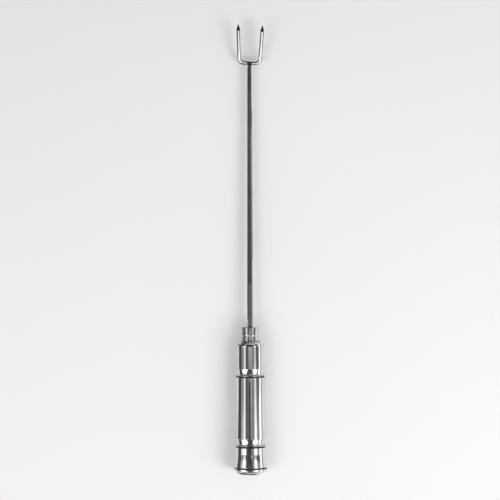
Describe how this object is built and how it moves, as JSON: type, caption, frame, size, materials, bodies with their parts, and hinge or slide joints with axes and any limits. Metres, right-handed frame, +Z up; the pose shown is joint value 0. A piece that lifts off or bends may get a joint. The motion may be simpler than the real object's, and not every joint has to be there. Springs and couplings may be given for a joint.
{
  "type": "barbecue fork",
  "caption": "Long barbecue fork: tined head of bent wire, slender tapered steel shaft and a polished turned handle with flared rings and a domed butt.",
  "frame": {"origin": "middle of the small flat on the domed butt, on the handle's axis", "axes": "+Y along the handle and the shaft from the butt to the tine tips; +Z up as the fork lies, the side to which the tines rise; +X across the fork"},
  "size_m": [0.0334, 0.46, 0.0334],
  "materials": {
    "handle_chrome": "mirror polish with fine handling scratches",
    "shaft_steel": "polished, slightly dulled",
    "wire_steel": "polished wire with ground points",
    "braze_metal": "dull filed brazing metal",
    "seam_steel": "darkened steel in the seams",
    "inner_steel": "plain machined steel"
  },
  "bodies": {
    "root": {"butt_cap": "handle_chrome", "clamp_plate": "seam_steel", "spring_washer": "inner_steel", "tang_nut": "inner_steel", "lower_sleeve": "handle_chrome", "lower_spacer": "seam_steel", "middle_sleeve": "handle_chrome", "upper_spacer": "seam_steel", "upper_sleeve": "handle_chrome", "ferrule": "handle_chrome", "shaft": "shaft_steel", "braze_fillet": "braze_metal", "tine_fork": "wire_steel"}
  },
  "joints": []
}
